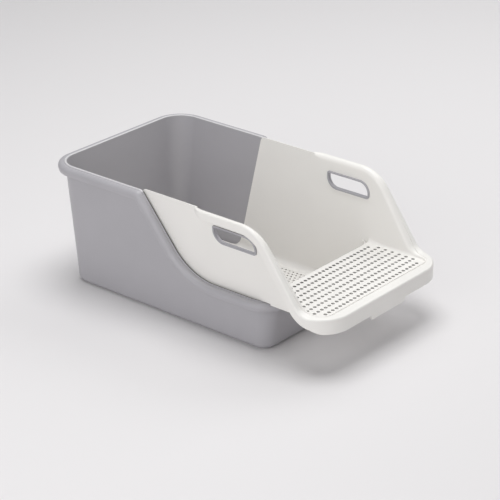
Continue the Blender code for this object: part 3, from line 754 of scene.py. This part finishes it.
def flange_section(width, drop, inner_edge, share=1.0):
    """Section of the rolled flange: across from the panel's inner face, and up from its top.

    Its rounded edges are drawn at a share of their full size.
    """
    outer_edge = max(FLANGE_OUTER_EDGE * share, FLANGE_SKIN + EMBED)
    inner_edge = min(inner_edge * share, width - outer_edge - 2 * EMBED)
    skin = FLANGE_SKIN
    room = width - outer_edge - inner_edge
    hollow = min(max(inner_edge - skin, skin / 2), width - outer_edge - skin - 2 * EMBED)
    inner_centre = (inner_edge - EMBED, -inner_edge)
    outer_centre = (width - outer_edge, -outer_edge)
    hollow_centre = (skin + EMBED + hollow, -skin - hollow)
    section = arc(inner_edge, math.pi, math.pi / 2, EDGE_STEPS, inner_centre)
    section += [(inner_edge + room * place, -room * depth) for place, depth in GROOVE_SHARES]
    section += arc(outer_edge, math.pi / 2, 0.0, EDGE_STEPS, outer_centre)
    section += hem(width, drop, skin)
    section += arc(outer_edge - skin, 0.0, math.pi / 2, EDGE_STEPS, outer_centre)
    section += arc(hollow, math.pi / 2, math.pi, EDGE_STEPS, hollow_centre)
    return section + [(skin + EMBED, -FLANGE_LEG), (-EMBED, -FLANGE_LEG)]


def flange_half_width(y):
    """From the middle to the flange's outer face at a place along the side."""
    past = FRONT_FACE + STEP_CORNER - y
    if past <= 0:
        return FLANGE_HALF
    return FLANGE_HALF - STEP_CORNER + math.sqrt(STEP_CORNER ** 2 - past ** 2)


def inner_edge_radius(share):
    """Radius of the flange's inner edge: full along the top, small round the step."""
    return BORDER_EDGE + (FLANGE_INNER_EDGE - BORDER_EDGE) * share


def start_share(y):
    """0 at the flange's start, 1 from where it has its full width and depth."""
    share = min((FLANGE_START - y) / FLANGE_TAPER, 1.0)
    return math.sin(share * math.pi / 2)


def flange_side_ring(x_sign, y, z, normal):
    """The flange's section at one place along a side."""
    inner = wall_half_width(z) - SHIELD_INSET
    full = flange_half_width(y) - inner
    growth = start_share(y)
    width = FLANGE_START_WIDTH + (full - FLANGE_START_WIDTH) * growth
    share = foot_share(y)
    drop = FLANGE_START_DROP + (FLANGE_DROP - FLANGE_START_DROP) * growth
    drop += (SKIRT_SIDE_DROP - FLANGE_DROP) * (1 - share) ** 2
    ring = []
    for across, up in flange_section(width, drop, inner_edge_radius(share), width / full):
        rise = up * normal.y
        lean = WALL_LEAN * rise * (1 - across / width)
        ring.append(Vector((x_sign * (inner + across + lean), y + up * normal.x, z + rise)))
    return ring


def flange_corner_ring(share):
    """The flange's section at a share of the way round the step's right front corner."""
    start = math.asin((FRONT_FACE + STEP_CORNER - SIDE_END) / STEP_CORNER)
    outer_angle = -(start + (math.pi / 2 - start) * share)
    inner_angle = -math.pi / 2 * share
    outer = Vector((FLANGE_HALF - STEP_CORNER, FRONT_FACE + STEP_CORNER, BORDER_HEIGHT))
    outer += STEP_CORNER * Vector((math.cos(outer_angle), math.sin(outer_angle), 0.0))
    side = wall_half_width(BORDER_HEIGHT) - SHIELD_INSET
    inner = Vector((side - STEP_INNER_CORNER, SIDE_END, BORDER_HEIGHT))
    inner += STEP_INNER_CORNER * Vector((math.cos(inner_angle), math.sin(inner_angle), 0.0))
    way = (outer - inner).normalized()
    deepening = math.sin(min(share / SKIRT_FULL_SHARE, 1.0) * math.pi / 2)
    drop = SKIRT_SIDE_DROP + (SKIRT_DROP - SKIRT_SIDE_DROP) * deepening
    section = flange_section((outer - inner).length, drop, BORDER_EDGE)
    return [inner + way * across + Vector((0.0, 0.0, up)) for across, up in section]


def build_flange():
    """The rolled flange, from the right side round the step's front to the left side."""
    path = flange_path()
    y, z, normal = path.pop()
    for number in range(TAPER_STEPS):
        path.append((y - FLANGE_TAPER * (1 - number / TAPER_STEPS), z, normal))
    path.append((y, z, normal))
    rings = [flange_side_ring(1, y, z, normal) for y, z, normal in reversed(path)]
    for number in range(1, CORNER_STEPS + 1):
        rings.append(flange_corner_ring(number / CORNER_STEPS))
    for ring in reversed(rings[:]):
        rings.append([Vector((-point.x, point.y, point.z)) for point in ring])
    return pull("flange", rings)


def build_tab():
    """The deeper middle of the step's skirt, with sloping ends."""
    low = BORDER_HEIGHT - SKIRT_DROP - TAB_DEPTH
    top = low + TAB_DEPTH + FLANGE_SKIN
    half = TAB_WIDTH / 2
    slope = TAB_DEPTH / 3
    outline = [(-half, top), (half, top), (half, low + slope), (half - slope, low)]
    outline += [(slope - half, low), (-half, low + slope)]
    front = FRONT_FACE + EMBED
    back = FRONT_FACE + FLANGE_SKIN - 2 * EMBED
    return pull("tab", [[Vector((x, y, z)) for x, z in outline] for y in (front, back)])


def step_ring(turn, rise_share):
    """Outline of the step inside its walls, at a turn of its fillet and a share of its rise.

    With no turn the outline lies in the middle of the walls.  Each outline ends a little further
    forward than the one before, so that the end that the well cuts off doesn't fold onto itself.
    """
    def inset(fillet):
        return -SHIELD_WALL / 2 if turn is None else fillet * (1 - math.sin(turn)) - EMBED

    end = STEP_BACK + STEP_BACK_CORNER + OVERRUN
    if turn is None:
        end -= OVERRUN / 8 * rise_share
    else:
        end -= OVERRUN / 4 * (2 - turn / (math.pi / 2))
    half = wall_half_width(STEP_HEIGHT) - SHIELD_INSET
    front = FRONT_FACE + BORDER_WIDTH
    radius = STEP_INNER_CORNER - PANEL_LAP
    bend = FLANGE_FOOT_RADIUS * math.tan(DIP_ANGLE / 2)
    slope_foot = FLANGE_FOOT + bend * math.cos(DIP_ANGLE)
    stations = (
        (end, STEP_END_FILLET),
        (STEP_BACK, STEP_END_FILLET),
        (STEP_BACK - STEP_END_RUN, STEP_FILLET),
        (slope_foot, STEP_FILLET),
        (front + radius, BORDER_FILLET),
    )
    ring = []
    for y, fillet in stations:
        rise = fillet * rise_share
        ring.append((half - inset(fillet) + WALL_LEAN * rise, y, rise))
    for dx, dy in arc(radius - inset(BORDER_FILLET), 0.0, -math.pi / 2, CORNER_STEPS // 2)[1:]:
        ring.append((half - radius + dx, front + radius + dy, BORDER_FILLET * rise_share))
    mirrored = [(-x, y, z) for x, y, z in reversed(ring)]
    return ring + mirrored


def build_step_holes():
    """All the step's holes as one cutter.  The first and last rows are a hole shorter each end."""
    grids = []
    for reach, row, rows, stride in (
        (HOLES_PER_SIDE - 1, 0, 2, HOLE_ROWS - 1),
        (HOLES_PER_SIDE, 1, HOLE_ROWS - 2, 1),
    ):
        first = (-reach * HOLE_PITCH, HOLE_FIRST_ROW - row * HOLE_ROW_PITCH, STEP_HEIGHT)
        steps = (2 * reach + 1, HOLE_PITCH, rows, -stride * HOLE_ROW_PITCH)
        grids.append(hole_grid(first, steps, HOLE_DIAMETER, HOLE_SIDES))
    return join(grids)


def build_step_well():
    """Cuts the step's rear edge, straight with a rounded corner at each wall."""
    half = wall_half_width(STEP_HEIGHT) - SHIELD_INSET
    wide = half + SHIELD_WALL
    centre = (half - STEP_BACK_CORNER, STEP_BACK + STEP_BACK_CORNER)
    outline = [(wide, centre[1] + 2 * OVERRUN), (wide, centre[1])]
    outline += arc(STEP_BACK_CORNER, 0.0, -math.pi / 2, EDGE_STEPS, centre)
    outline += [(-x, y) for x, y in reversed(outline)]
    heights = (STEP_HEIGHT - STEP_THICKNESS - OVERRUN, STEP_HEIGHT + 2 * OVERRUN)
    return pull("step_well", [[Vector((x, y, z)) for x, y in outline] for z in heights])


def build_step():
    """The step's perforated plate, with a rounded corner up to the walls beside it."""
    def ring(turn, share, base):
        return [Vector((x, y, base + z)) for x, y, z in step_ring(turn, share)]

    rings = [ring(None, 0.0, STEP_HEIGHT - STEP_THICKNESS), ring(None, 1.0, STEP_HEIGHT)]
    for number in range(EDGE_STEPS + 1):
        angle = math.pi / 2 * (1 - number / EDGE_STEPS)
        rings.append(ring(angle, 1 - math.cos(angle), STEP_HEIGHT))
    step = pull("step", rings)
    combine(step, build_step_well(), "DIFFERENCE")
    return combine(step, build_step_holes(), "DIFFERENCE", "FAST")


def handle_outline(grow):
    """The handle opening's outline in y and z, grown by an amount all round."""
    half_length = HANDLE_LENGTH / 2
    half_height = HANDLE_HEIGHT / 2
    corners = (
        (1, 1, HANDLE_SMALL_CORNER, 0.0),
        (-1, 1, HANDLE_BIG_CORNER, math.pi / 2),
        (-1, -1, HANDLE_LOW_CORNER, math.pi),
        (1, -1, HANDLE_BIG_CORNER, 3 * math.pi / 2),
    )
    points = []
    for y_sign, z_sign, radius, start in corners:
        y = HANDLE_CENTRE + y_sign * (half_length - radius)
        z = HANDLE_CENTRE_HEIGHT + z_sign * (half_height - radius)
        points += arc(radius + grow, start, start + math.pi / 2, CORNER_STEPS // 2, (y, z))
    return points


def build_handle_cutter():
    """One bar that cuts both handle openings."""
    reach = FLANGE_HALF + OVERRUN
    outline = handle_outline(-RING_LIP)
    rings = [[Vector((x, y, z)) for y, z in outline] for x in (-reach, reach)]
    return pull("handle_cutter", rings)


def mark_step_holes(shield):
    """Mark the walls of the step's holes for painted shade."""
    across = (HOLES_PER_SIDE + 1) * HOLE_PITCH
    nearest = HOLE_FIRST_ROW - (HOLE_ROWS - 0.5) * HOLE_ROW_PITCH
    marks = []
    for face in shield.data.polygons:
        x, y, z = face.center
        upright = abs(face.normal.z) < UPRIGHT_LIMIT
        inside = abs(x) < across and nearest < y < HOLE_FIRST_ROW + HOLE_DIAMETER
        level = STEP_HEIGHT - STEP_THICKNESS < z < STEP_HEIGHT
        # Painted shade, at part strength, on the upright walls of the holes.
        marks.append(HOLE_PAINTED_SHADE * float(upright and inside and level))
    shield.data.attributes.new("painted_shade", "FLOAT", "FACE").data.foreach_set("value", marks)


def build_shield():
    """The shield as one moulding: flange, panels, riser, ledges, tab, step and floor."""
    shield = build_flange()
    shield.name = "shield_moulding"
    for x_sign in (1, -1):
        panel = combine(build_panel(x_sign), build_handle_cutter(), "DIFFERENCE")
        combine(shield, panel, "UNION")
    for make in (build_riser, build_corner_ledge, build_tab, build_step, build_sieve_floor):
        combine(shield, make(), "UNION")
    mark_step_holes(shield)
    smooth(shield, SHIELD_SHARP_ANGLE)
    return shield


def build_handle_ring(x_sign):
    """The soft ring that lines one handle opening and laps over both faces of the panel."""
    neck = -RING_LIP - RING_GAP
    bore = neck - RING_NECK
    outer_face = RING_GAP + RING_LIP_THICKNESS
    inner_face = -SHIELD_WALL - RING_GAP - RING_LIP_THICKNESS
    edge = RING_LIP_EDGE
    steps = EDGE_STEPS // 2
    section = arc(edge, math.pi, math.pi / 2, steps, (bore + edge, outer_face - edge))
    section += arc(edge, math.pi / 2, 0.0, steps, (-edge, outer_face - edge))
    section += [(0.0, RING_GAP), (neck, RING_GAP)]
    section += [(neck, -SHIELD_WALL - RING_GAP), (0.0, -SHIELD_WALL - RING_GAP)]
    section += arc(edge, 0.0, -math.pi / 2, steps, (-edge, inner_face + edge))
    section += arc(edge, 3 * math.pi / 2, math.pi, steps, (bore + edge, inner_face + edge))
    rings = []
    for grow, depth in section:
        rings.append([
            Vector((x_sign * (wall_half_width(z) - SHIELD_CLEARANCE + depth), y, z))
            for y, z in handle_outline(grow)
        ])
    side = "right" if x_sign > 0 else "left"
    ring = pull(side + "_ring_lining", rings, closed=True)
    smooth(ring)
    return ring


# Materials

def add_node(tree, kind, **settings):
    """Add a node, with each setting put on the node itself or on its socket of that name."""
    node = tree.nodes.new(kind)
    for key, value in settings.items():
        if hasattr(node, key):
            setattr(node, key, value)
        else:
            node.inputs[key].default_value = value
    return node


def noise(tree, scale, detail, roughness=0.5):
    """A noise pattern on the object's own coordinates, in cells per metre."""
    place = add_node(tree, "ShaderNodeTexCoord")
    settings = {"Scale": scale, "Detail": detail, "Roughness": roughness}
    pattern = add_node(tree, "ShaderNodeTexNoise", **settings)
    tree.links.new(place.outputs["Object"], pattern.inputs["Vector"])
    return pattern.outputs["Fac"]


def spread(tree, source, low, high):
    """Map a pattern from its middle range to a range of values."""
    node = add_node(tree, "ShaderNodeMapRange")
    limits = zip(("From Min", "From Max", "To Min", "To Max"), (*PATTERN_MIDDLE, low, high))
    for socket, value in limits:
        node.inputs[socket].default_value = value
    tree.links.new(source, node.inputs["Value"])
    return node.outputs["Result"]


def moulded_plastic(name, colour, shade, roughness, sheen, grain, grain_scale):
    """Moulded plastic: faint tone drift, uneven gloss and a fine satin grain."""
    material = bpy.data.materials.new(name)
    material.use_nodes = True
    tree = material.node_tree
    shader = tree.nodes["Principled BSDF"]
    mix = add_node(tree, "ShaderNodeMix", data_type="RGBA")
    mix.inputs["A"].default_value = (*colour, 1.0)
    mix.inputs["B"].default_value = (*[part * shade for part in colour], 1.0)
    drift = spread(tree, noise(tree, DRIFT_SCALE, DRIFT_DETAIL), 0.0, 1.0)
    tree.links.new(drift, mix.inputs["Factor"])
    # Mix painted highlight and painted shade into the colour wherever the piece's marks say.
    for mark_name, tone in (("painted_highlight", PAINTED_HIGHLIGHT_TONE), ("painted_shade", PAINTED_SHADE_TONE)):
        mark = add_node(tree, "ShaderNodeAttribute", attribute_name=mark_name)
        marked = add_node(tree, "ShaderNodeMix", data_type="RGBA")
        marked.inputs["B"].default_value = (*tone, 1.0)
        tree.links.new(mark.outputs["Fac"], marked.inputs["Factor"])
        tree.links.new(mix.outputs["Result"], marked.inputs["A"])
        mix = marked
    tree.links.new(mix.outputs["Result"], shader.inputs["Base Color"])
    uneven = noise(tree, GLOSS_SCALE, GLOSS_DETAIL)
    gloss = spread(tree, uneven, roughness - GLOSS_SWING, roughness + GLOSS_SWING)
    tree.links.new(gloss, shader.inputs["Roughness"])
    shader.inputs["Coat Weight"].default_value = sheen
    shader.inputs["Coat Roughness"].default_value = COAT_ROUGHNESS
    bump = add_node(tree, "ShaderNodeBump", Strength=grain, Distance=GRAIN_HEIGHT)
    satin = noise(tree, grain_scale, GRAIN_DETAIL, GRAIN_ROUGHNESS)
    tree.links.new(satin, bump.inputs["Height"])
    tree.links.new(bump.outputs["Normal"], shader.inputs["Normal"])
    return material


# Studio

def build_floor():
    """A plain pale floor."""
    bpy.ops.object.select_all(action="DESELECT")
    bpy.ops.mesh.primitive_plane_add(size=FLOOR_SIZE)
    floor = bpy.context.object
    floor.name = "studio_floor"
    material = bpy.data.materials.new("studio_floor")
    material.use_nodes = True
    shader = material.node_tree.nodes["Principled BSDF"]
    shader.inputs["Base Color"].default_value = FLOOR_TONE
    shader.inputs["Roughness"].default_value = FLOOR_ROUGHNESS
    shader.inputs["Specular IOR Level"].default_value = FLOOR_SHINE
    floor.data.materials.append(material)


def add_light(name, size, power, place):
    """A round soft light, aimed at the middle of the box."""
    light = bpy.data.lights.new(name, "AREA")
    light.shape = "DISK"
    light.size = size
    light.energy = power
    item = bpy.data.objects.new(name, light)
    bpy.context.scene.collection.objects.link(item)
    item.location = place
    way = LIGHT_TARGET - Vector(place)
    item.rotation_euler = way.to_track_quat("-Z", "Y").to_euler()


def build_lights():
    """An even pale sky and the soft lights round the box."""
    world = bpy.data.worlds.new("studio")
    world.use_nodes = True
    background = world.node_tree.nodes["Background"]
    background.inputs["Color"].default_value = SKY_TONE
    background.inputs["Strength"].default_value = SKY_STRENGTH
    bpy.context.scene.world = world
    for light in LIGHTS:
        add_light(*light)


def build_camera():
    """The photograph's camera: its place, turn and lens."""
    azimuth, elevation = CAMERA_AZIMUTH, CAMERA_ELEVATION
    back = Vector((
        math.sin(azimuth) * math.cos(elevation),
        -math.cos(azimuth) * math.cos(elevation),
        math.sin(elevation),
    ))
    right = Vector((0.0, 0.0, 1.0)).cross(back).normalized()
    up = back.cross(right)
    turned_right = math.cos(CAMERA_ROLL) * right + math.sin(CAMERA_ROLL) * up
    turned_up = -math.sin(CAMERA_ROLL) * right + math.cos(CAMERA_ROLL) * up
    lens = bpy.data.cameras.new("camera")
    lens.lens = CAMERA_LENS
    lens.sensor_width = CAMERA_SENSOR
    lens.clip_end = CAMERA_REACH
    camera = bpy.data.objects.new("camera", lens)
    bpy.context.scene.collection.objects.link(camera)
    turn = Matrix((turned_right, turned_up, back)).transposed().to_4x4()
    camera.matrix_world = Matrix.Translation(CAMERA_TARGET + CAMERA_DISTANCE * back) @ turn
    bpy.context.scene.camera = camera


def finish_piece(piece, material, body, node):
    """Give a piece its material and body, in place of the frame's node."""
    piece.data.materials.clear()
    piece.data.materials.append(material)
    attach(piece, body)
    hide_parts(node)


bpy.context.scene.view_settings.view_transform = "Standard"
build_camera()
build_lights()
build_floor()

tray_grey = moulded_plastic("tray_grey", **TRAY_FINISH)
shield_white = moulded_plastic("shield_white", **SHIELD_FINISH)
ring_grey = moulded_plastic("ring_grey", **RING_FINISH)

finish_piece(build_tray(), tray_grey, "tray", "litter_tray")
finish_piece(build_shield(), shield_white, "shield", "entry_shield")
finish_piece(build_handle_ring(-1), ring_grey, "shield", "left_handle_ring")
finish_piece(build_handle_ring(1), ring_grey, "shield", "right_handle_ring")
